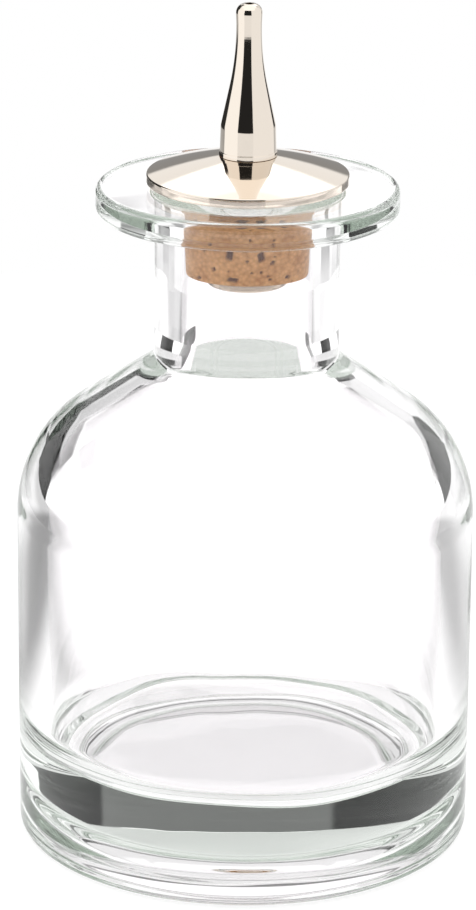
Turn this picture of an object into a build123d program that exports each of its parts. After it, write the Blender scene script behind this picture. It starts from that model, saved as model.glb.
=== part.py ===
"""A glass bitters bottle with a dasher stopper: cork, domed metal cap and dash spout.

Millimetres, +Z up. The origin is the centre of the bottle's base, on the surface it stands on.
Every piece is a body of revolution about Z, apart from the nut's spanner holes.
"""

import os
from math import cos, radians, tan

from build123d import *

# Bottle, outside
BODY_DIAMETER = 60.0
HEEL_ROUNDING = 1.6
SHOULDER_SLOPE = 34.0
SHOULDER_ROUNDING = 16.6
NECK_DIAMETER = 24.0
NECK_ROOT_HEIGHT = 65.1
NECK_ROOT_ROUNDING = 1.6
LIP_HEIGHT = 88.1
FLANGE_DIAMETER = 39.2
FLANGE_THICKNESS = 3.5
FLANGE_EDGE_ROUNDING = 0.8
FLANGE_ROOT_BEVEL = 0.4
FOOT_RING_WIDTH = 5.2
PUNT_DEPTH = 4.2
PUNT_SIDE_RUN = 2.3
PUNT_ROUNDING = 4.0
FOOT_INNER_BEVEL = 0.5

# Bottle, inside
BODY_WALL = 4.0
SHOULDER_WALL = 3.4
FLOOR_HEIGHT = 12.0
FLOOR_CORNER_ROUNDING = 3.4
BORE_DIAMETER = 17.0
BORE_ROOT_BEVEL = 1.0
LIP_BEVEL = 0.4

# Cork
CORK_CLEARANCE = 0.1
CORK_LENGTH = 11.8
CORK_TAPER_ANGLE = 2.4
CORK_EDGE_BEVEL = 0.3

# Domed cap
CAP_DIAMETER = 26.1
CAP_LIP_GAP = 0.35
CAP_RIM_HEIGHT = 1.2
CAP_RISE = 2.35
CAP_CROWN = 0.17
CAP_EDGE_BEVEL = 0.15
CORK_RECESS_DEPTH = 0.4
CORK_RECESS_CLEARANCE = 0.2

# Stem tube, which threads into the spout and the nut
STEM_DIAMETER = 4.0
STEM_BORE_DIAMETER = 2.4
STEM_FIT_CLEARANCE = 0.05
STEM_BELOW_NUT = 0.5
STEM_END_GAP = 0.5
STEM_END_BEVEL = 0.2

# Dash spout
SPOUT_SEAT_GAP = 0.05
SPOUT_RING_DIAMETER = 7.5
SPOUT_RING_HEIGHT = 0.65
SPOUT_RING_STEP = 0.1
SPOUT_RING_BEVEL = 0.08
SPOUT_BARREL_DIAMETER = 7.1
SPOUT_BARREL_HEIGHT = 3.95
SPOUT_BARREL_ROUNDING = 3.0
SPOUT_CONE_ANGLE = 12.2
SPOUT_THROAT_DIAMETER = 3.26
SPOUT_THROAT_ROUNDING = 36.0
SPOUT_TIP_DIAMETER = 3.5
SPOUT_TIP_LENGTH = 2.6
SPOUT_TIP_ROUNDING = 1.1
SPOUT_HEIGHT = 19.75
ORIFICE_DIAMETER = 1.1
ORIFICE_LENGTH = 1.4
CHANNEL_TOP_DIAMETER = 1.8
SOCKET_DEPTH = 4.9

# Retaining nut
NUT_DIAMETER = 10.9
NUT_THICKNESS = 1.7
NUT_EDGE_ROUNDING = 0.9
SPANNER_HOLE_DIAMETER = 1.1
SPANNER_HOLE_DEPTH = 0.9
SPANNER_HOLE_COUNT = 2

body_r = BODY_DIAMETER / 2
neck_r = NECK_DIAMETER / 2
flange_r = FLANGE_DIAMETER / 2
bore_r = BORE_DIAMETER / 2
flange_underside = LIP_HEIGHT - FLANGE_THICKNESS
slope = radians(SHOULDER_SLOPE)

cap_underside = LIP_HEIGHT + CAP_LIP_GAP
cap_rim_top = cap_underside + CAP_RIM_HEIGHT
cap_top = cap_rim_top + CAP_RISE
cork_top = cap_underside + CORK_RECESS_DEPTH
cork_top_r = bore_r - CORK_CLEARANCE
cork_bottom = cork_top - CORK_LENGTH
nut_bottom = cork_bottom - NUT_THICKNESS
stem_r = STEM_DIAMETER / 2
stem_hole_r = stem_r + STEM_FIT_CLEARANCE
spout_seat = cap_top + SPOUT_SEAT_GAP
socket_top = spout_seat + SOCKET_DEPTH


def turned(outline):
    """Turn an outline about Z into a solid.

    A corner is (radius, height), and where it is eased the word "round" or "bevel" and a size follow.
    """
    face = make_face(Polyline(*[corner[:2] for corner in outline], close=True)).face()
    for r, z, *easing in outline:
        if easing:
            kind, size = easing
            corners = [face.vertices().sort_by_distance((r, z, 0))[0]]
            if kind == "round":
                face = face.fillet_2d(size, corners)
            else:
                face = face.chamfer_2d(size, size, corners)
    return revolve(Plane.XZ * face, axis=Axis.Z)


def shoulder_height(r, depth=0):
    """Height of the shoulder's straight slope at a radius, or of its parallel a depth below."""
    return NECK_ROOT_HEIGHT + (neck_r - r) * tan(slope) - depth / cos(slope)


def bottle():
    """Thick-walled bottle with a flanged lip and a heavy base, hollowed beneath inside its foot ring."""
    inner_r = body_r - BODY_WALL
    punt_r = body_r - FOOT_RING_WIDTH
    return turned([
        (0, PUNT_DEPTH),
        (punt_r - PUNT_SIDE_RUN, PUNT_DEPTH, "round", PUNT_ROUNDING),
        (punt_r, 0, "bevel", FOOT_INNER_BEVEL),
        (body_r, 0, "round", HEEL_ROUNDING),
        (body_r, shoulder_height(body_r), "round", SHOULDER_ROUNDING),
        (neck_r, NECK_ROOT_HEIGHT, "round", NECK_ROOT_ROUNDING),
        (neck_r, flange_underside, "bevel", FLANGE_ROOT_BEVEL),
        (flange_r, flange_underside, "round", FLANGE_EDGE_ROUNDING),
        (flange_r, LIP_HEIGHT, "round", FLANGE_EDGE_ROUNDING),
        (bore_r, LIP_HEIGHT, "bevel", LIP_BEVEL),
        (bore_r, shoulder_height(bore_r, SHOULDER_WALL), "bevel", BORE_ROOT_BEVEL),
        (inner_r, shoulder_height(inner_r, SHOULDER_WALL), "round", SHOULDER_ROUNDING - SHOULDER_WALL),
        (inner_r, FLOOR_HEIGHT, "round", FLOOR_CORNER_ROUNDING),
        (0, FLOOR_HEIGHT),
    ])


def cork():
    """Tapered natural cork with a hole for the stem."""
    cork_bottom_r = cork_top_r - CORK_LENGTH * tan(radians(CORK_TAPER_ANGLE))
    return turned([
        (stem_hole_r, cork_bottom),
        (cork_bottom_r, cork_bottom, "bevel", CORK_EDGE_BEVEL),
        (cork_top_r, cork_top),
        (stem_hole_r, cork_top),
    ])


def cap():
    """Domed cap: a crowned disc with an upright rim, recessed beneath for the cork's top."""
    rim_r = CAP_DIAMETER / 2
    seat_r = SPOUT_RING_DIAMETER / 2
    recess_r = cork_top_r + CORK_RECESS_CLEARANCE
    crown = SagittaArc((rim_r, cap_rim_top), (seat_r, cap_top), -CAP_CROWN)
    sides = Polyline(
        (seat_r, cap_top),
        (stem_hole_r, cap_top),
        (stem_hole_r, cork_top),
        (recess_r, cork_top),
        (recess_r, cap_underside),
        (rim_r, cap_underside),
        (rim_r, cap_rim_top),
    )
    face = make_face(crown.edges() + sides.edges()).face()
    for height in (cap_underside, cap_rim_top):
        edge = face.vertices().sort_by_distance((rim_r, height, 0))[0]
        face = face.chamfer_2d(CAP_EDGE_BEVEL, CAP_EDGE_BEVEL, [edge])
    return revolve(Plane.XZ * face, axis=Axis.Z)


def stem():
    """Tube that carries the liquid through the cork and clamps cap, cork and nut together."""
    bore = STEM_BORE_DIAMETER / 2
    bottom = nut_bottom - STEM_BELOW_NUT
    top = socket_top - STEM_END_GAP
    return turned([
        (bore, bottom),
        (stem_r, bottom, "bevel", STEM_END_BEVEL),
        (stem_r, top, "bevel", STEM_END_BEVEL),
        (bore, top),
    ])


def spout():
    """Dash spout: a barrel on a base ring, drawn up to a narrow throat and a rolled tip."""
    barrel_r = SPOUT_BARREL_DIAMETER / 2
    throat_r = SPOUT_THROAT_DIAMETER / 2
    tip_r = SPOUT_TIP_DIAMETER / 2
    ring_r = SPOUT_RING_DIAMETER / 2
    top = spout_seat + SPOUT_HEIGHT
    ring_top = spout_seat + SPOUT_RING_HEIGHT
    barrel_top = spout_seat + SPOUT_BARREL_HEIGHT
    throat = barrel_top + (barrel_r - throat_r) / tan(radians(SPOUT_CONE_ANGLE))
    channel_top = top - ORIFICE_LENGTH
    return turned([
        (stem_hole_r, spout_seat),
        (ring_r, spout_seat, "bevel", SPOUT_RING_BEVEL),
        (ring_r, ring_top, "bevel", SPOUT_RING_BEVEL),
        (ring_r - SPOUT_RING_STEP, ring_top),
        (barrel_r, barrel_top, "round", SPOUT_BARREL_ROUNDING),
        (throat_r, throat, "round", SPOUT_THROAT_ROUNDING),
        (throat_r, top - SPOUT_TIP_LENGTH),
        (tip_r, top, "round", SPOUT_TIP_ROUNDING),
        (ORIFICE_DIAMETER / 2, top),
        (ORIFICE_DIAMETER / 2, channel_top),
        (CHANNEL_TOP_DIAMETER / 2, channel_top),
        (STEM_BORE_DIAMETER / 2, socket_top),
        (stem_hole_r, socket_top),
    ])


def nut():
    """Round nut under the cork, with blind holes for a pin spanner."""
    nut_r = NUT_DIAMETER / 2
    blank = turned([
        (stem_hole_r, nut_bottom),
        (nut_r, nut_bottom, "round", NUT_EDGE_ROUNDING),
        (nut_r, cork_bottom),
        (stem_hole_r, cork_bottom),
    ])
    hole_place = (stem_hole_r + nut_r - NUT_EDGE_ROUNDING) / 2
    hole = Cylinder(SPANNER_HOLE_DIAMETER / 2, SPANNER_HOLE_DEPTH, align=(Align.CENTER, Align.CENTER, Align.MIN))
    return blank - Pos(0, 0, nut_bottom) * PolarLocations(hole_place, SPANNER_HOLE_COUNT) * hole


pieces = {
    "bottle": bottle(),
    "cork": cork(),
    "domed_cap": cap(),
    "stem_tube": stem(),
    "dash_spout": spout(),
    "retaining_nut": nut(),
}

os.makedirs("parts", exist_ok=True)
for name, piece in pieces.items():
    export_step(piece, f"parts/{name}.step")
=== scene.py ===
"""Bitters bottle: moulded glass, natural cork and plated metal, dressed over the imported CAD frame.

The file is laid out as an add-on and is run as a script. Lengths are metres in the frame's own axes:
the origin is the centre of the bottle's base, +Z runs up to the spout's tip, and -Y faces the camera.
"""

from math import cos, pi, radians, tan

import bpy
import numpy as np
from bpy.props import FloatProperty, FloatVectorProperty, PointerProperty
from mathutils import Matrix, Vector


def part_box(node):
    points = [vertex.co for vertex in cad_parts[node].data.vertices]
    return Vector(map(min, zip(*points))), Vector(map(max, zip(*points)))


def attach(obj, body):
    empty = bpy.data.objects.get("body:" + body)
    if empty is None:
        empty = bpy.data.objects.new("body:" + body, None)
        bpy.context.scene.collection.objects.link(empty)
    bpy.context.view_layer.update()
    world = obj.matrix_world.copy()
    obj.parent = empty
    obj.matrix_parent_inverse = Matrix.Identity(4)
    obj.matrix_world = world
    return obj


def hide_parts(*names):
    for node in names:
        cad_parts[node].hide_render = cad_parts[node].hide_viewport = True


bl_info = {
    "name": "Bitters Bottle Finish",
    "version": (1, 0, 0),
    "blender": (4, 5, 0),
    "location": "View3D > Sidebar > Bottle",
    "description": "Glass, cork and plated metal for a bitters bottle, with its white studio",
    "category": "Object",
}

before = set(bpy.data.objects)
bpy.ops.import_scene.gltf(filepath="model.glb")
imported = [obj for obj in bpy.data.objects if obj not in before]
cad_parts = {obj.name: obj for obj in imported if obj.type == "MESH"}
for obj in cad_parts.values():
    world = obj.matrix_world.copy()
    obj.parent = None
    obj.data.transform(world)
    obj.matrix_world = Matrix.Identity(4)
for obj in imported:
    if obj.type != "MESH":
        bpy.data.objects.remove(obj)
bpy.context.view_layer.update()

MM = 0.001
PHOTO_WIDTH = 476
PHOTO_HEIGHT = 910

bottle_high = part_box("bottle")[1]
cork_low, cork_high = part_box("cork")
cap_low, cap_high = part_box("domed_cap")
spout_low, spout_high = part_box("dash_spout")
nut_low, nut_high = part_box("retaining_nut")


def length(name, text, default):
    """A length a user may change."""
    return FloatProperty(name=name, description=text, default=default, unit="LENGTH", precision=5)


def angle(name, text, degrees):
    """An angle a user may change."""
    return FloatProperty(name=name, description=text, default=radians(degrees), subtype="ANGLE")


def colour(name, text, default):
    """A colour a user may change."""
    return FloatVectorProperty(
        name=name, description=text, default=default, subtype="COLOR", min=0, max=1)


def number(name, text, default, **kind):
    """A plain number a user may change."""
    return FloatProperty(name=name, description=text, default=default, min=0, **kind)


class GlassSizes(bpy.types.PropertyGroup):
    """Sizes and tint of the bottle."""

    body_radius: length("Body radius", "Outside of the straight body", bottle_high.x)
    heel: length("Heel rounding", "Rounding between body and foot", 1.6 * MM)
    slope: angle("Shoulder slope", "Slope of the shoulder against the ground", 34)
    shoulder: length("Shoulder rounding", "Rounding between body and shoulder", 16.6 * MM)
    neck_radius: length("Neck radius", "Outside of the neck", 12 * MM)
    neck_root: length("Neck root height", "Height where the shoulder meets the neck", 65.1 * MM)
    neck_root_rounding: length("Neck root rounding", "Hollow rounding at the neck's foot", 1.6 * MM)
    lip_height: length("Lip height", "Top of the flange", bottle_high.z)
    flange_radius: length("Flange radius", "Outside of the flange", 19.6 * MM)
    flange_thickness: length("Flange thickness", "Thickness of the flange", 3.5 * MM)
    flange_edge: length("Flange edge rounding", "Rounding of the flange's outer edges", 0.8 * MM)
    flange_root: length("Flange root rounding", "Hollow rounding under the flange", 0.7 * MM)
    bore_radius: length("Bore radius", "Inside of the neck", 8.5 * MM)
    bore_root: length("Bore root rounding", "Rounding at the foot of the bore", 10 * MM)
    lip_rounding: length("Lip rounding", "Rounding of the bore's mouth", 0.6 * MM)
    wall: length("Body wall", "Thickness of the body's wall", 4 * MM)
    shoulder_wall: length("Shoulder wall", "Thickness of the shoulder", 3.4 * MM)
    floor: length("Floor height", "Height of the inside floor", 12 * MM)
    floor_corner: length("Floor corner rounding", "Rounding between floor and inner wall", 5 * MM)
    foot_ring: length("Foot ring width", "Width of the ring that the bottle stands on", 5.2 * MM)
    punt: length("Punt depth", "Depth of the hollow beneath the base", 4.2 * MM)
    punt_flat: length("Punt flat", "Radius of the hollow's flat middle", 22 * MM)
    punt_rounding: length("Punt rounding", "Rounding of the hollow's edge", 8 * MM)
    foot_edge: length("Foot edge rounding", "Rounding between the hollow and the foot", 1 * MM)
    wave: length("Wave height", "Height of the moulded glass's inner waves", 0.03 * MM)
    corner_wave: length("Corner wave height", "Height of the waves along the floor's corner", 0.3 * MM)
    tint: colour("Glass tint", "Colour that thick glass takes", (0.15, 0.30, 0.16))
    tint_density: number("Tint density", "Strength of the tint", 7)
    body_colour: colour("Glass colour", "Colour of light through one wall", (0.985, 0.967, 0.982))


class StopperSizes(bpy.types.PropertyGroup):
    """Sizes of the cork, cap, spout and nut."""

    cork_top_radius: length("Cork top radius", "Radius of the cork's top", cork_high.x)
    cork_taper: angle("Cork taper", "Slope of the cork's side", 2.4)
    cork_edge: length("Cork edge rounding", "Rounding of the cork's lower edge", 0.5 * MM)
    pore_depth: length("Pore depth", "Depth of the cork's deepest pores", 0.35 * MM)
    cap_radius: length("Cap radius", "Radius of the cap's rim", cap_high.x)
    cap_rim: length("Rim height", "Height of the cap's upright rim", 1.2 * MM)
    cap_crown: length("Crown", "Bulge of the cap's top over a plain cone", 0.17 * MM)
    cap_edge: length("Cap edge rounding", "Rounding of the rim's edges", 0.2 * MM)
    stem_radius: length("Stem hole radius", "Radius of the holes for the stem", 2.05 * MM)
    ring_radius: length("Ring radius", "Radius of the spout's base ring", spout_high.x)
    ring_height: length("Ring height", "Height of the spout's base ring", 0.65 * MM)
    ring_step: length("Ring step", "Step from the ring in to the barrel", 0.1 * MM)
    barrel_radius: length("Barrel radius", "Radius of the spout's barrel at its top", 3.55 * MM)
    barrel_height: length("Barrel height", "Height of the barrel's top over its seat", 3.95 * MM)
    cone_angle: angle("Cone angle", "Slope of the spout's drawn cone", 12.2)
    throat_radius: length("Throat radius", "Radius of the spout's narrow throat", 1.63 * MM)
    throat_rounding: length("Throat rounding", "Radius of the curve into the throat", 36 * MM)
    tip_radius: length("Tip radius", "Radius of the rolled tip", 1.75 * MM)
    tip_length: length("Tip length", "Length of the flare below the tip", 2.6 * MM)
    tip_rounding: length("Tip rounding", "Rounding of the tip", 1.15 * MM)
    orifice_radius: length("Orifice radius", "Radius of the hole in the tip", 0.55 * MM)
    orifice_length: length("Orifice length", "Length of the hole in the tip", 1.4 * MM)
    channel_radius: length("Channel radius", "Radius of the channel at its top", 0.9 * MM)
    socket_depth: length("Socket depth", "Depth of the stem's socket", 4.9 * MM)
    nut_edge: length("Nut edge rounding", "Rounding of the nut's lower edge", 0.9 * MM)
    metal_colour: colour("Metal colour", "Colour of the nickel plate", (0.84, 0.76, 0.67))
    nut_colour: colour("Nut colour", "Colour of the nut's duller plate", (0.55, 0.47, 0.38))
    cork_light: colour("Cork light colour", "Colour of the cork's pale grains", (0.92, 0.52, 0.22))
    cork_dark: colour("Cork dark colour", "Colour of the cork's darker grains", (0.55, 0.23, 0.07))
    pore_colour: colour("Pore colour", "Colour inside the cork's pores", (0.15, 0.055, 0.025))


class StudioSizes(bpy.types.PropertyGroup):
    """Camera, floor and light."""

    camera_distance: length("Camera distance", "Level distance of the camera from the axis", 519 * MM)
    camera_height: length("Camera height", "Height of the camera", 229.9 * MM)
    camera_side: length("Camera side step", "Step to the left that frames the bottle", -1 * MM)
    camera_pitch: angle("Camera pitch", "Downward look of the camera", 18.98)
    camera_roll: angle("Camera roll", "Lean of the picture", 0.44)
    focal_pixels: number("Focal length", "Focal length in pixels", 4185, subtype="PIXEL")
    floor_radius: length("Floor radius", "Radius of the white floor", 0.26)
    lamp_power: number("Lamp power", "Power of the overhead lamp", 2, unit="POWER")


# Shapes

# Fineness of the meshes: the longest step along an arc, the fewest steps on it, the steps round the
# axis, and how near to the axis a point counts as on it
ARC_STEP = 0.3 * MM
ARC_LEAST = 6
TURNED_SIDES = 256
CORK_SIDES = 384
ON_AXIS = 1e-9


def eased(corners):
    """Outline through (radius, height, rounding) corners.

    Each corner gives way to an arc that touches both of its sides: it starts rounding x tan(half the
    turn) before the corner, and its points are the start swung about the arc's centre by equal shares
    of the turn.
    """
    table = np.array(corners, float)
    points, rounding = table[:, :2], table[:, 2]
    arrive = points - np.roll(points, 1, axis=0)
    leave = np.roll(points, -1, axis=0) - points
    arrive /= np.linalg.norm(arrive, axis=1)[:, None]
    leave /= np.linalg.norm(leave, axis=1)[:, None]
    cross = arrive[:, 0] * leave[:, 1] - arrive[:, 1] * leave[:, 0]
    turn = np.arctan2(cross, (arrive * leave).sum(1))
    turn[rounding == 0] = 0
    reach = rounding * np.tan(np.abs(turn) / 2)
    start = points - arrive * reach[:, None]
    side = np.stack([-arrive[:, 1], arrive[:, 0]], 1) * np.sign(turn)[:, None]
    centre = start + side * rounding[:, None]
    steps = np.maximum(np.abs(turn) * rounding / ARC_STEP, ARC_LEAST).astype(int) * (turn != 0)
    corner = np.repeat(np.arange(len(points)), steps + 1)
    place = np.arange(len(corner)) - np.repeat(np.cumsum(steps + 1) - steps - 1, steps + 1)
    swing = turn[corner] * place / np.maximum(steps[corner], 1)
    spoke = (start - centre)[corner]
    x = spoke[:, 0] * np.cos(swing) - spoke[:, 1] * np.sin(swing)
    y = spoke[:, 0] * np.sin(swing) + spoke[:, 1] * np.cos(swing)
    return centre[corner] + np.stack([x, y], -1)


def supported(outline, spacing, margin, closed):
    """The outline with more points on its long runs: one margin from each end, and one each spacing.

    A run is long when three margins fit into it, and the spaced points keep two margins from its ends.
    """
    path = np.vstack([outline, outline[:1]]) if closed else outline
    run = np.linalg.norm(np.diff(path, axis=0), axis=1)
    place = np.concatenate([[0], np.cumsum(run)])
    long_run = run > 3 * margin
    near = np.concatenate([place[:-1][long_run] + margin, place[1:][long_run] - margin])
    even = np.arange(spacing, place[-1], spacing)
    index = np.searchsorted(place, even) - 1
    clear = (even - place[index] > 2 * margin) & (place[index + 1] - even > 2 * margin)
    places = np.sort(np.concatenate([place, near, even[clear & long_run[index]]]))
    if closed:
        places = places[:-1]
    return np.stack([np.interp(places, place, path[:, k]) for k in (0, 1)], 1)


def turned(name, outline, sides=TURNED_SIDES, relief=None):
    """Surface of revolution: a point is (radius cos a, radius sin a, height) of its outline and turn a.

    The outline runs with the material on its left. It closes on itself, or starts and ends on the axis
    in a pole. relief(radius, height, turn) moves the surface along its outline's outward normal.
    """
    ahead, behind = np.roll(outline, -1, axis=0), np.roll(outline, 1, axis=0)
    poles = outline[0, 0] < ON_AXIS
    if poles:
        ahead[-1], behind[0] = outline[-1], outline[0]
    along = ahead - behind
    normal = np.stack([along[:, 1], -along[:, 0]], 1)
    normal /= np.linalg.norm(normal, axis=1)[:, None]
    turn = np.arange(sides) * 2 * pi / sides
    lift = np.zeros((len(outline), sides))
    if relief:
        lift = relief(outline[:, :1], outline[:, 1:], turn[None, :])
    radius = outline[:, :1] + lift * normal[:, :1]
    height = outline[:, 1:] + lift * normal[:, 1:]
    grid = np.stack([radius * np.cos(turn), radius * np.sin(turn), height + 0 * turn], -1)
    return grid_mesh(name, grid, poles)


def grid_mesh(name, grid, poles):
    """Mesh object over a grid of rows and turns, closed round the turn and by its rows or at poles."""
    rows, sides = grid.shape[:2]
    index = np.arange(rows * sides).reshape(rows, sides)
    beside = np.roll(index, -1, axis=1)
    if poles:
        body = slice(1, rows - 1)
        index, beside = index[body], beside[body]
        low, high = index[:-1], index[1:]
        low_next, high_next = beside[:-1], beside[1:]
        fans = [
            np.stack([np.full(sides, 0), beside[0], index[0]], -1),
            np.stack([np.full(sides, (rows - 1) * sides), index[-1], beside[-1]], -1),
        ]
    else:
        low, high = index, np.roll(index, -1, axis=0)
        low_next, high_next = beside, np.roll(beside, -1, axis=0)
        fans = []
    quads = np.stack([low, low_next, high_next, high], -1).reshape(-1, 4)
    faces = quads.tolist() + [face for fan in fans for face in fan.tolist()]
    used = np.unique(np.concatenate([quads.ravel()] + [fan.ravel() for fan in fans]))
    renumber = np.zeros(rows * sides, int)
    renumber[used] = np.arange(len(used))
    mesh = bpy.data.meshes.new(name)
    points = grid.reshape(-1, 3)[used]
    mesh.from_pydata(points.tolist(), [], [renumber[face].tolist() for face in faces])
    mesh.polygons.foreach_set("use_smooth", np.ones(len(mesh.polygons), bool))
    mesh.update()
    piece = bpy.data.objects.new(name, mesh)
    bpy.context.scene.collection.objects.link(piece)
    return piece


# Pores at the front of the cork: turn from the front in degrees, then height over the cork's bottom,
# half width and half height in millimetres.
FRONT_PORES = [
    (-15, 4.2, 0.50, 0.85), (11.5, 4.0, 0.50, 0.80), (-29, 2.1, 0.30, 0.30), (36, 1.0, 0.45, 0.25),
    (-12.5, 0.9, 0.80, 0.35), (22, 3.2, 0.25, 0.30), (-4.5, 5.8, 0.80, 0.50), (10.5, 5.6, 0.60, 0.55),
    (29, 5.3, 0.50, 0.55), (-70, 1.9, 0.50, 0.35), (-44, 0.6, 0.35, 0.20),
]
# Strewn pores: how many, the degrees of turn that they lie in, and the spans of half width and half
# height in millimetres.
LARGE_PORES = (34, (-8, 188), (0.2, 0.7), (0.2, 0.6))
SMALL_PORES = (90, (0, 360), (0.12, 0.22), (0.12, 0.2))
PORE_SEED = 11
# Outline and depth: how far the rim wavers, how often, how it differs from pore to pore, and how
# steeply the pore falls from its rim
PORE_WAVER = 0.13
PORE_LOBES = 4
PORE_VARIETY = 9
PORE_STEEPNESS = 3
# Pores are sunk no further in from the cork's lower edge than the first, and coloured up to the second.
SUNK_EDGE = 0.5 * MM
COLOURED_EDGE = 0.8 * MM


def cork_pores(cork_length):
    """Every pore as a row of turn, height, half width and half height, most of them strewn evenly."""
    front = np.array(FRONT_PORES) * [pi / 180, MM, MM, MM] - [pi / 2, 0, 0, 0]
    random = np.random.default_rng(PORE_SEED)
    strewn = [
        np.stack([
            random.uniform(radians(turns[0]), radians(turns[1]), count),
            random.uniform(0, cork_length, count),
            random.uniform(*widths, count) * MM,
            random.uniform(*heights, count) * MM,
        ], 1)
        for count, turns, widths, heights in (LARGE_PORES, SMALL_PORES)
    ]
    return np.vstack([front, *strewn])


def pore_share(pores, radius, height, turn):
    """How deep each point lies in a pore: 0 outside, rising steeply from the rim to 1.

    A pore is an ellipse. The rise is 1 minus the distance from its middle, as a share of its size, and
    its rim wavers by a sine of the direction from its middle.
    """
    inside = np.zeros(np.broadcast(height, turn).shape)
    for place, level, wide, tall in pores:
        across = (np.mod(turn - place + pi, 2 * pi) - pi) * radius / wide
        along = (height - cork_low.z - level) / tall
        direction = np.arctan2(along, across)
        waver = 1 + PORE_WAVER * np.sin(PORE_LOBES * direction + PORE_VARIETY * place)
        inside = np.maximum(inside, 1 - np.hypot(across, along) * waver)
    return np.clip(PORE_STEEPNESS * inside, 0, 1)


def shoulder_height(glass, radius, depth=0):
    """Height of the shoulder's slope at a radius, or of its parallel a depth below the surface."""
    rise = (glass.neck_radius - radius) * tan(glass.slope)
    return glass.neck_root + rise - depth / cos(glass.slope)


def bottle_outline(glass):
    """Section of the glass: from the foot's hollow up the outside, over the lip and down the inside."""
    inner = glass.body_radius - glass.wall
    underside = glass.lip_height - glass.flange_thickness
    punt_radius = glass.body_radius - glass.foot_ring
    depth = glass.shoulder_wall
    return eased([
        (0, glass.punt, 0),
        (glass.punt_flat, glass.punt, glass.punt_rounding),
        (punt_radius, 0, glass.foot_edge),
        (glass.body_radius, 0, glass.heel),
        (glass.body_radius, shoulder_height(glass, glass.body_radius), glass.shoulder),
        (glass.neck_radius, glass.neck_root, glass.neck_root_rounding),
        (glass.neck_radius, underside, glass.flange_root),
        (glass.flange_radius, underside, glass.flange_edge),
        (glass.flange_radius, glass.lip_height, glass.flange_edge),
        (glass.bore_radius, glass.lip_height, glass.lip_rounding),
        (glass.bore_radius, shoulder_height(glass, glass.bore_radius, depth), glass.bore_root),
        (inner, shoulder_height(glass, inner, depth), glass.shoulder - depth),
        (inner, glass.floor, glass.floor_corner),
        (0, glass.floor, 0),
    ])


# Waves of the moulded glass. Slow ones: ripples in a full turn, millimetres of rise to a ripple, start
# in radians, and share of the height. Along the floor's corner: ripples in a full turn, start, share.
SLOW_WAVES = [
    (2, 47, 0.4, 1.0), (3, 37, 1.9, 0.8), (5, 29, 3.1, 0.6), (7, 23, 4.4, 0.45), (11, 19, 5.6, 0.3),
]
CORNER_WAVES = [(3, 0.5, 1.0), (5, 2, 0.6), (8, 1, 0.4)]
CORNER_WAVE_REACH = 3 * MM
OUTSIDE_WAVES = 0.12
BORE_WAVES = 0.25
STILL_MIDDLE = 20 * MM


def glass_waves(glass):
    """Waves of moulded glass.

    The slow ones are a sum of cosines of turn and height, strong inside, faint outside and in the bore,
    and dying out towards the axis. The others are a sum of cosines of turn that fades as a bell curve
    with the distance from the floor's corner.
    """
    corner_radius = glass.body_radius - glass.wall - glass.floor_corner
    corner_height = glass.floor + 0.3 * glass.floor_corner
    inner_side = glass.body_radius - 0.6 * glass.wall
    bore_side = glass.bore_radius + glass.wall
    bore_foot = glass.floor * 2

    def relief(radius, height, turn):
        inside = radius < inner_side
        in_bore = (radius < bore_side) & (height > bore_foot)
        calm = np.where(inside, 1.0, OUTSIDE_WAVES) * np.where(in_bore, BORE_WAVES, 1.0)
        calm = calm * np.clip(radius / STILL_MIDDLE, 0, 1) ** 3 * (height > glass.heel)
        wave = 0
        for ripples, rise, start, share in SLOW_WAVES:
            drift = 2 * pi * (height + radius) / (rise * MM)
            wave = wave + share * np.cos(ripples * turn + start) * np.cos(drift + 2 * start)
        off = np.hypot(radius - corner_radius, height - corner_height) / CORNER_WAVE_REACH
        corner = sum(share * np.cos(ripples * turn + start) for ripples, start, share in CORNER_WAVES)
        return glass.wave * calm * wave + glass.corner_wave * np.exp(-off ** 2) * inside * corner

    return relief


# Materials

# A mix node's sockets, by their places: two numbers and their mix, two colours and their mix
NUMBER_IN, NUMBER_OUT = (2, 3), 0
COLOUR_IN, COLOUR_OUT = (6, 7), 2


class Recipe:
    """A material in the making: its node tree, with short calls to add and join nodes."""

    def __init__(self, name):
        self.material = bpy.data.materials.new(name)
        self.material.use_nodes = True
        self.tree = self.material.node_tree
        self.shader = self.tree.nodes["Principled BSDF"]
        self.output = self.tree.nodes["Material Output"]

    def add(self, kind, inputs=None, **settings):
        """A node of a kind, with settings on it and values or sockets at its inputs."""
        return add_node(self.tree, kind, inputs, **settings)

    def blend(self, factor, first, second):
        """A mix of two colours or sockets by a factor."""
        return self.add("ShaderNodeMix", {
            "Factor": factor, COLOUR_IN[0]: first, COLOUR_IN[1]: second,
        }, data_type="RGBA").outputs[COLOUR_OUT]

    def set(self, **values):
        """Values or sockets for the Principled shader, words joined by underscores."""
        fill(self.tree, self.shader, {key.replace("_", " "): value for key, value in values.items()})


def add_node(tree, kind, inputs=None, **settings):
    """A node in a tree, with settings on it and values or sockets at its inputs."""
    node = tree.nodes.new(kind)
    for key, value in settings.items():
        setattr(node, key, value)
    fill(tree, node, inputs or {})
    return node


def fill(tree, node, inputs):
    """Set a node's inputs: a socket is linked, anything else is a value."""
    for key, value in inputs.items():
        if isinstance(value, bpy.types.NodeSocket):
            tree.links.new(value, node.inputs[key])
        else:
            node.inputs[key].default_value = value


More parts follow.
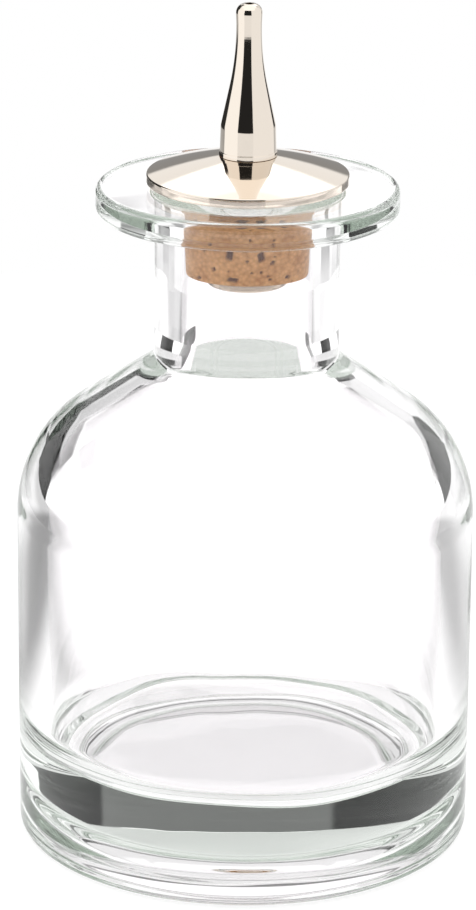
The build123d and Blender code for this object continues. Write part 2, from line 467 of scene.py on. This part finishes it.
def shared_group(name, inputs, output, build):
    """A shader group with named sockets, built once.

    build(tree, given) makes its nodes from the sockets given to it, and returns the one that goes out.
    """
    tree = bpy.data.node_groups.get(name)
    if tree is None:
        tree = bpy.data.node_groups.new(name, "ShaderNodeTree")
        for word in inputs:
            kind = "NodeSocketVector" if word == "Vector" else "NodeSocketFloat"
            tree.interface.new_socket(name=word, in_out="INPUT", socket_type=kind)
        kind = "NodeSocketVector" if output == "Normal" else "NodeSocketFloat"
        tree.interface.new_socket(name=output, in_out="OUTPUT", socket_type=kind)
        given = tree.nodes.new("NodeGroupInput").outputs
        leaving = tree.nodes.new("NodeGroupOutput").inputs
        tree.links.new(build(tree, given), leaving[output])
    return tree


def fine_waves():
    """Group for a smooth surface's slight unevenness: a noise, read as a height, bends the normal."""

    def build(tree, given):
        noise = add_node(tree, "ShaderNodeTexNoise", {
            "Vector": given["Vector"], "Scale": given["Scale"], "Detail": 2,
        })
        return add_node(tree, "ShaderNodeBump", {
            "Height": noise.outputs["Fac"], "Strength": given["Strength"],
            "Distance": given["Distance"],
        }).outputs["Normal"]

    return shared_group("fine_waves", ("Vector", "Scale", "Strength", "Distance"), "Normal", build)


def smudges():
    """Group for the cloudy gloss of buffed plate: a noise, spread from smooth to dull roughness."""

    def build(tree, given):
        noise = add_node(tree, "ShaderNodeTexNoise", {
            "Vector": given["Vector"], "Scale": given["Scale"], "Detail": 3,
        })
        return add_node(tree, "ShaderNodeMapRange", {
            "Value": noise.outputs["Fac"], "To Min": given["Smooth"], "To Max": given["Dull"],
        }).outputs["Result"]

    return shared_group("smudges", ("Vector", "Scale", "Smooth", "Dull"), "Roughness", build)


def glass_material(glass):
    """Clear soda glass: a plain transmitting surface, faint ripples, and tint that grows with depth."""
    recipe = Recipe("clear_glass")
    place = recipe.add("ShaderNodeTexCoord").outputs["Object"]
    ripples = recipe.add("ShaderNodeGroup", {
        "Vector": place, "Scale": 90, "Strength": 0.04, "Distance": 0.5 * MM,
    }, node_tree=fine_waves())
    recipe.set(
        Base_Color=(*glass.body_colour, 1), Transmission_Weight=1, IOR=1.52, Roughness=0,
        Normal=ripples.outputs["Normal"],
    )
    depth = recipe.add("ShaderNodeVolumeAbsorption", {
        "Color": (*glass.tint, 1), "Density": glass.tint_density,
    })
    recipe.tree.links.new(depth.outputs["Volume"], recipe.output.inputs["Volume"])
    return recipe.material


def metal_material(name, plate):
    """Polished nickel plate with a warm tone and the faint unevenness of a buffed casting."""
    recipe = Recipe(name)
    place = recipe.add("ShaderNodeTexCoord").outputs["Object"]
    gloss = recipe.add("ShaderNodeGroup", {
        "Vector": place, "Scale": 260, "Smooth": 0.02, "Dull": 0.07,
    }, node_tree=smudges())
    buffing = recipe.add("ShaderNodeGroup", {
        "Vector": place, "Scale": 700, "Strength": 0.02, "Distance": 0.2 * MM,
    }, node_tree=fine_waves())
    recipe.set(
        Base_Color=(*plate, 1), Metallic=1, Roughness=gloss.outputs["Roughness"],
        Normal=buffing.outputs["Normal"],
    )
    return recipe.material


def cork_material(stopper):
    """Natural cork: pale and darker grains in small cells, with brown pores read from the mesh."""
    recipe = Recipe("natural_cork")
    place = recipe.add("ShaderNodeTexCoord").outputs["Object"]
    cloud = recipe.add("ShaderNodeTexNoise", {
        "Vector": place, "Scale": 330, "Detail": 5, "Roughness": 0.65,
    })
    cells = recipe.add("ShaderNodeTexVoronoi", {"Vector": place, "Scale": 1900}, feature="F1")
    grain = recipe.add("ShaderNodeMath", {0: cells.outputs["Distance"], 1: 0.6}, operation="MULTIPLY")
    mixed = recipe.add("ShaderNodeMath", {
        0: cloud.outputs["Fac"], 1: grain.outputs[0],
    }, operation="ADD").outputs[0]
    shade = recipe.add("ShaderNodeMapRange", {"Value": mixed, "From Min": 0.5, "From Max": 1.15})
    grains = recipe.blend(shade.outputs["Result"], (*stopper.cork_light, 1), (*stopper.cork_dark, 1))
    pore = recipe.add("ShaderNodeAttribute", attribute_name="pore")
    pored = recipe.blend(pore.outputs["Fac"], grains, (*stopper.pore_colour, 1))
    bump = recipe.add("ShaderNodeBump", {
        "Height": mixed, "Strength": 0.5, "Distance": 0.1 * MM,
    })
    recipe.set(Base_Color=pored, Roughness=0.85, Normal=bump.outputs["Normal"])
    return recipe.material


# Pieces


def finish_piece(piece, material, body, slot, *nodes):
    """Give a piece its material, body and the CAD nodes that it stands for; the slot is not used."""
    piece.data.materials.clear()
    piece.data.materials.append(material)
    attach(piece, body)
    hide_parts(*nodes)


class MESH_OT_bitters_glass(bpy.types.Operator):
    """Add the moulded glass bottle"""

    bl_idname = "mesh.bitters_glass"
    bl_label = "Glass Bottle"

    def execute(self, context):
        glass = context.scene.bitters_glass
        outline = supported(
            bottle_outline(glass), spacing=2.5 * MM, margin=0.15 * MM, closed=False)
        piece = turned("glass_bottle", outline, relief=glass_waves(glass))
        finish_piece(piece, glass_material(glass), "bottle", "clear_glass", "bottle")
        return {"FINISHED"}


class MESH_OT_bitters_cork(bpy.types.Operator):
    """Add the natural cork"""

    bl_idname = "mesh.bitters_cork"
    bl_label = "Cork"

    def execute(self, context):
        stopper = context.scene.bitters_stopper
        cork_length = cork_high.z - cork_low.z
        bottom_radius = stopper.cork_top_radius - cork_length * tan(stopper.cork_taper)
        pores = cork_pores(cork_length)
        upper_edge = 0.1 * MM
        outline = eased([
            (stopper.stem_radius, cork_low.z, 0),
            (bottom_radius, cork_low.z, stopper.cork_edge),
            (stopper.cork_top_radius, cork_high.z, upper_edge),
            (stopper.stem_radius, cork_high.z, 0),
        ])
        outline = supported(outline, spacing=0.16 * MM, margin=0.05 * MM, closed=True)

        def pitted(radius, height, turn):
            on_side = radius > bottom_radius - SUNK_EDGE
            return -stopper.pore_depth * pore_share(pores, radius, height, turn) * on_side

        piece = turned("cork_stopper", outline, CORK_SIDES, pitted)
        point = np.empty(len(piece.data.vertices) * 3)
        piece.data.vertices.foreach_get("co", point)
        x, y, z = point.reshape(-1, 3).T
        on_side = np.hypot(x, y) > bottom_radius - COLOURED_EDGE
        shade = pore_share(pores, np.hypot(x, y), z, np.arctan2(y, x)) * on_side
        piece.data.attributes.new("pore", "FLOAT", "POINT").data.foreach_set("value", shade)
        finish_piece(piece, cork_material(stopper), "stopper", "cork", "cork")
        return {"FINISHED"}


class MESH_OT_bitters_metal(bpy.types.Operator):
    """Add the plated cap, spout and nut, and plate the stem"""

    bl_idname = "mesh.bitters_metal"
    bl_label = "Plated Metal"

    def execute(self, context):
        stopper = context.scene.bitters_stopper
        plate = metal_material("nickel_plate", stopper.metal_colour)
        dull_plate = metal_material("dull_nickel_plate", stopper.nut_colour)
        finish_piece(self.cap(stopper), plate, "stopper", "nickel_plate", "domed_cap")
        finish_piece(self.spout(stopper), plate, "spout", "nickel_plate", "dash_spout")
        finish_piece(self.nut(stopper), dull_plate, "stopper", "nickel_plate", "retaining_nut")
        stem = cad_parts["stem_tube"]
        stem.data.materials.clear()
        stem.data.materials.append(plate)
        return {"FINISHED"}

    def cap(self, stopper):
        """Crowned disc: the top is a shallow arc from the rim to the spout's seat.

        Its radius is the half chord squared over twice the crown. The arc is eased from two straight
        runs that meet over the middle, twice the crown above the chord.
        """
        hole = stopper.stem_radius
        rim_top = cap_low.z + stopper.cap_rim
        half_run = (stopper.cap_radius - stopper.ring_radius) / 2
        half_rise = (cap_high.z - rim_top) / 2
        middle = (stopper.cap_radius - half_run, rim_top + half_rise + 2 * stopper.cap_crown)
        crown_radius = (half_run ** 2 + half_rise ** 2) / (2 * stopper.cap_crown)
        arc_share = 0.9
        outline = eased([
            (hole, cap_low.z, 0),
            (stopper.cap_radius, cap_low.z, stopper.cap_edge),
            (stopper.cap_radius, rim_top, stopper.cap_edge),
            (*middle, arc_share * crown_radius),
            (stopper.ring_radius, cap_high.z, 0),
            (hole, cap_high.z, 0),
        ])
        outline = supported(outline, spacing=1 * MM, margin=0.04 * MM, closed=True)
        return turned("domed_cap_plated", outline)

    def spout(self, stopper):
        """Barrel on a base ring, drawn up in a cone to the throat and the rolled tip."""
        seat, top = spout_low.z, spout_high.z
        ring_top = seat + stopper.ring_height
        barrel_top = seat + stopper.barrel_height
        throat = barrel_top + (stopper.barrel_radius - stopper.throat_radius) / tan(stopper.cone_angle)
        channel_top = top - stopper.orifice_length
        socket_top = seat + stopper.socket_depth
        edge, step_edge, orifice_edge = 0.06 * MM, 0.02 * MM, 0.03 * MM
        barrel_rounding, flare_rounding = 3 * MM, 4 * MM
        outline = eased([
            (stopper.stem_radius, seat, 0),
            (stopper.ring_radius, seat, edge),
            (stopper.ring_radius, ring_top, edge),
            (stopper.ring_radius - stopper.ring_step, ring_top, step_edge),
            (stopper.barrel_radius, barrel_top, barrel_rounding),
            (stopper.throat_radius, throat, stopper.throat_rounding),
            (stopper.throat_radius, top - stopper.tip_length, flare_rounding),
            (stopper.tip_radius, top, stopper.tip_rounding),
            (stopper.orifice_radius, top, orifice_edge),
            (stopper.orifice_radius, channel_top, 0),
            (stopper.channel_radius, channel_top, 0),
            (stopper.channel_radius, socket_top, 0),
            (stopper.stem_radius, socket_top, 0),
        ])
        outline = supported(outline, spacing=0.6 * MM, margin=0.03 * MM, closed=True)
        return turned("dash_spout_plated", outline)

    def nut(self, stopper):
        """Round nut with a well rounded lower edge."""
        upper_edge = 0.05 * MM
        outline = eased([
            (stopper.stem_radius, nut_low.z, 0),
            (nut_high.x, nut_low.z, stopper.nut_edge),
            (nut_high.x, nut_high.z, upper_edge),
            (stopper.stem_radius, nut_high.z, 0),
        ])
        outline = supported(outline, spacing=0.8 * MM, margin=0.04 * MM, closed=True)
        return turned("retaining_nut_plated", outline)


# Studio

# Light of the white studio by direction, in degrees. Azimuth is 0 towards the camera, 90 at the right
# and 180 behind the bottle, and height is 0 at the horizon. A row is the light at the start, then each
# place where it changes, with the light from there on.

# What metal, cork and the outside of the glass mirror: where each panel starts, and its light by height
REAR_LEFT_FROM, LEFT_FROM, FRONT_FROM, RIGHT_FROM, REAR_RIGHT_FROM, REAR_FROM = (
    -163, -114, -44, 20, 129, 150)
REAR_LEFT = (0.5, (-12, 0.03), (40, 1.0))
LEFT = 1.15
FRONT = (0.95, (-10, 0.02))
RIGHT = 1.0
REAR_RIGHT = (0.6, (-9, 0.06), (-1, 0.8))
REAR = (1.0, (-3, 0.3), (15, 1.0), (30, 1.9))

# What shows through the glass, by azimuth: close to the ground, at the horizon with a dark gap on each
# side of the rear, the same with narrower gaps through the hollow body, and in a band over the horizon
NEAR_GROUND = (0.95, (-100, 0.55), (100, 0.95))
HORIZON = (1.5, (-168, 0.0), (-132, 1.8), (134, 0.0), (160, 1.5))
HORIZON_THROUGH_BODY = (1.6, (-162, 0.04), (-142, 1.6), (141, 0.1), (152, 1.6))
BAND = (0.22, (REAR_LEFT_FROM, 0.02), (-98, 1.8), (120, 0.0), (REAR_FROM, 0.22))
HORIZON_FROM, WALL_FROM, BAND_FROM, BAND_TO = -16, 5, 18, 28
WALL, OVER_BAND = 0.95, 1.0

# A ray has crossed two surfaces once it leaves solid glass, and four straight through the hollow body.
HOLLOW_FROM = 3.5
COUNT_SOFT = 0.1

OVERHEAD_FROM = 48
OVERHEAD = 1.3
SHARP, SOFT, VERY_SOFT = 1, 2, 5

# Light of the floor as glass and metal see it, with painted shade and a painted shadow on it. Bearing
# is 0 straight behind the bottle and 90 at its right. Across and back are metres from the axis, to the
# right and away from the camera.
GROUND_SEEN = 0.85
GROUND_THROUGH_GLASS = 1.05
GROUND_BASE = 0.25
GROUND_CLEARANCE = 0.05 * MM
# Painted shadow on the ground straight behind the bottle, seen through solid glass
SHADOW_BEHIND_SOLID_GLASS = 0.6
# Painted shade on the ground behind the bottle at the left and right
LEFT_GROUND_SHADE, BEHIND_FROM, BEHIND_TO, RIGHT_GROUND_SHADE = 0.08, -36, 42, 0.3
# Painted shade on the far ground at the left and right
FAR_GROUND_SHADE = (0.5, (-125 * MM, 1.0), (135 * MM, 0.75))
# Painted shade on the ground in front of the bottle; the ground under it stays light
FRONT_GROUND_SHADE, UNDER_FROM, UNDER_TO, FAR_FROM = 0.55, -30 * MM, 40 * MM, 105 * MM
BEARING_SOFT, ACROSS_SOFT, BACK_SOFT = 9, 25 * MM, 16 * MM
FLOOR_SIDES = 64

# The lamp's width, place and turn, what the camera can see between, and how often light may bounce
LAMP_SIZE = 0.6
LAMP_PLACE = (-0.25, -0.2, 0.9)
LAMP_TURN = (radians(-12), radians(-15), 0)
CLIP_START, CLIP_END = 0.01, 50
GLASS_BOUNCES = 32


def profile(tree, value, soft, start, *changes):
    """A level that starts at one number or socket and turns softly into another at each given place."""
    level = start
    for place, after in changes:
        step = add_node(tree, "ShaderNodeMapRange", {
            "Value": value, "From Min": place - soft, "From Max": place + soft,
        }, interpolation_type="SMOOTHSTEP").outputs["Result"]
        level = blend_value(tree, step, level, after)
    return level


def blend_value(tree, factor, first, second):
    """A mix of two numbers or sockets by a factor."""
    return add_node(tree, "ShaderNodeMix", {
        "Factor": factor, NUMBER_IN[0]: first, NUMBER_IN[1]: second,
    }).outputs[NUMBER_OUT]


def bearing_of(tree, across, ahead):
    """The direction of a point in degrees: the arctangent of its step across over its step ahead."""
    turn = add_node(tree, "ShaderNodeMath", {0: across, 1: ahead}, operation="ARCTAN2").outputs[0]
    return degrees_of(tree, turn)


def degrees_of(tree, angle_socket):
    """An angle in degrees."""
    return add_node(tree, "ShaderNodeMath", {0: angle_socket}, operation="DEGREES").outputs[0]


def studio_world():
    """White studio seen by direction: light panels, with dark gaps between them.

    Surfaces mirror one set of panels. A view through the glass meets another, because glass bends it
    to other heights. Through the hollow body the gaps are narrower, so that it stays clear.
    """
    world = bpy.data.worlds.new("white_studio")
    world.use_nodes = True
    tree = world.node_tree
    direction = add_node(tree, "ShaderNodeTexCoord").outputs["Generated"]
    axes = add_node(tree, "ShaderNodeSeparateXYZ", {0: direction}).outputs
    ahead = add_node(tree, "ShaderNodeMath", {0: axes["Y"], 1: -1}, operation="MULTIPLY").outputs[0]
    azimuth = bearing_of(tree, axes["X"], ahead)
    rise = add_node(tree, "ShaderNodeMath", {0: axes["Z"]}, operation="ARCSINE").outputs[0]
    height = degrees_of(tree, rise)
    ray = add_node(tree, "ShaderNodeLightPath").outputs

    rear_left = profile(tree, height, SOFT, *REAR_LEFT)
    rear_right = profile(tree, height, SOFT, *REAR_RIGHT)
    rear = profile(tree, height, SOFT, *REAR)
    front = profile(tree, height, SHARP, *FRONT)
    mirrored = profile(
        tree, azimuth, SHARP, rear, (REAR_LEFT_FROM, rear_left), (LEFT_FROM, LEFT), (FRONT_FROM, front),
        (RIGHT_FROM, RIGHT), (REAR_RIGHT_FROM, rear_right), (REAR_FROM, rear))

    near_ground = profile(tree, azimuth, VERY_SOFT, *NEAR_GROUND)
    horizon = profile(tree, azimuth, SHARP, *HORIZON)
    through_body = profile(tree, azimuth, SHARP, *HORIZON_THROUGH_BODY)
    horizon = profile(
        tree, ray["Transmission Depth"], COUNT_SOFT, horizon, (HOLLOW_FROM, through_body))
    band = profile(tree, azimuth, SHARP, *BAND)
    through_glass = profile(
        tree, height, SHARP, near_ground, (HORIZON_FROM, horizon), (WALL_FROM, WALL), (BAND_FROM, band),
        (BAND_TO, OVER_BAND))

    light = blend_value(tree, ray["Is Transmission Ray"], mirrored, through_glass)
    light = profile(tree, height, SOFT, light, (OVERHEAD_FROM, OVERHEAD))
    seen = blend_value(tree, ray["Is Camera Ray"], light, 1.0)
    background = tree.nodes["Background"]
    tree.links.new(seen, background.inputs["Strength"])
    background.inputs["Color"].default_value = (1, 1, 1, 1)
    return world


def floor_material():
    """White floor, mostly its own light so that shadows stay faint.

    Glass and metal see painted shade on it: grey in front and dark behind at the left and right.
    Straight behind, a painted shadow makes it greyer through solid glass than through the hollow body.
    The camera sees it white.
    """
    recipe = Recipe("white_floor")
    tree = recipe.tree
    coordinates = recipe.add("ShaderNodeTexCoord").outputs["Object"]
    place = recipe.add("ShaderNodeSeparateXYZ", {0: coordinates}).outputs
    bearing = bearing_of(tree, place["X"], place["Y"])
    ray = recipe.add("ShaderNodeLightPath").outputs

    # Painted shadow behind the bottle and painted shade on the ground around it, by place; the camera
    # sees none of it
    behind = profile(
        tree, ray["Transmission Depth"], COUNT_SOFT, SHADOW_BEHIND_SOLID_GLASS, (HOLLOW_FROM, 1.0))
    beyond = profile(
        tree, bearing, BEARING_SOFT, LEFT_GROUND_SHADE, (BEHIND_FROM, behind), (BEHIND_TO, RIGHT_GROUND_SHADE))
    far = profile(tree, place["X"], ACROSS_SOFT, *FAR_GROUND_SHADE)
    ground = profile(
        tree, place["Y"], BACK_SOFT, FRONT_GROUND_SHADE, (UNDER_FROM, 1.0), (UNDER_TO, beyond),
        (FAR_FROM, far))
    ground = blend_value(tree, ray["Is Camera Ray"], ground, 1.0)
    level = blend_value(tree, ray["Is Transmission Ray"], GROUND_SEEN, GROUND_THROUGH_GLASS)
    glow = recipe.add("ShaderNodeMath", {0: level, 1: ground}, operation="MULTIPLY").outputs[0]
    recipe.set(
        Base_Color=(GROUND_BASE, GROUND_BASE, GROUND_BASE, 1), Roughness=1, Specular_IOR_Level=0,
        Emission_Color=(1, 1, 1, 1), Emission_Strength=glow,
    )
    return recipe.material


class SCENE_OT_bitters_studio(bpy.types.Operator):
    """Set up the white studio: floor, surrounding light, lamp and camera"""

    bl_idname = "scene.bitters_studio"
    bl_label = "White Studio"

    def execute(self, context):
        studio = context.scene.bitters_studio
        context.scene.world = studio_world()
        context.scene.view_settings.view_transform = "Standard"
        context.scene.cycles.max_bounces = GLASS_BOUNCES
        context.scene.cycles.transmission_bounces = GLASS_BOUNCES
        context.scene.cycles.glossy_bounces = GLASS_BOUNCES
        self.floor(studio)
        self.lamp(studio)
        self.camera(context, studio)
        return {"FINISHED"}

    def floor(self, studio):
        """Flat round floor: a ring of points about one centre."""
        turn = np.linspace(0, 2 * pi, FLOOR_SIDES, endpoint=False)
        ring = studio.floor_radius * np.stack([np.cos(turn), np.sin(turn), 0 * turn], 1)
        ring[:, 2] = -GROUND_CLEARANCE
        mesh = bpy.data.meshes.new("floor")
        mesh.from_pydata(ring.tolist(), [], [list(range(len(ring)))])
        mesh.materials.append(floor_material())
        floor = bpy.data.objects.new("floor", mesh)
        bpy.context.scene.collection.objects.link(floor)

    def lamp(self, studio):
        """Square softbox overhead."""
        light = bpy.data.lights.new("overhead_softbox", "AREA")
        light.size = LAMP_SIZE
        light.energy = studio.lamp_power
        lamp = bpy.data.objects.new("overhead_softbox", light)
        lamp.location = LAMP_PLACE
        lamp.rotation_euler = LAMP_TURN
        lamp.visible_camera = False
        lamp.visible_glossy = False
        lamp.visible_transmission = False
        bpy.context.scene.collection.objects.link(lamp)

    def camera(self, context, studio):
        """Camera at the photograph's distance, height, pitch and slight lean."""
        data = bpy.data.cameras.new("camera")
        data.lens = studio.focal_pixels / max(PHOTO_WIDTH, PHOTO_HEIGHT) * data.sensor_width
        data.clip_start, data.clip_end = CLIP_START, CLIP_END
        camera = bpy.data.objects.new("camera", data)
        place = Matrix.Translation((studio.camera_side, -studio.camera_distance, studio.camera_height))
        look = Matrix.Rotation(pi / 2 - studio.camera_pitch, 4, "X")
        camera.matrix_world = place @ look @ Matrix.Rotation(studio.camera_roll, 4, "Z")
        context.scene.collection.objects.link(camera)
        context.scene.camera = camera


class VIEW3D_PT_bitters(bpy.types.Panel):
    """Bitters bottle tools"""

    bl_label = "Bitters Bottle"
    bl_idname = "VIEW3D_PT_bitters"
    bl_space_type = "VIEW_3D"
    bl_region_type = "UI"
    bl_category = "Bottle"

    def draw(self, context):
        for operator in OPERATORS:
            self.layout.operator(operator.bl_idname)


GROUPS = {
    "bitters_glass": GlassSizes,
    "bitters_stopper": StopperSizes,
    "bitters_studio": StudioSizes,
}
OPERATORS = (
    MESH_OT_bitters_glass,
    MESH_OT_bitters_cork,
    MESH_OT_bitters_metal,
    SCENE_OT_bitters_studio,
)


def register():
    for name, group in GROUPS.items():
        bpy.utils.register_class(group)
        setattr(bpy.types.Scene, name, PointerProperty(type=group))
    for cls in (*OPERATORS, VIEW3D_PT_bitters):
        bpy.utils.register_class(cls)


def unregister():
    for cls in (VIEW3D_PT_bitters, *reversed(OPERATORS)):
        bpy.utils.unregister_class(cls)
    for name, group in GROUPS.items():
        delattr(bpy.types.Scene, name)
        bpy.utils.unregister_class(group)


def main():
    """Make every piece and the studio."""
    register()
    bpy.ops.mesh.bitters_glass()
    bpy.ops.mesh.bitters_cork()
    bpy.ops.mesh.bitters_metal()
    bpy.ops.scene.bitters_studio()


if __name__ == "__main__":
    main()
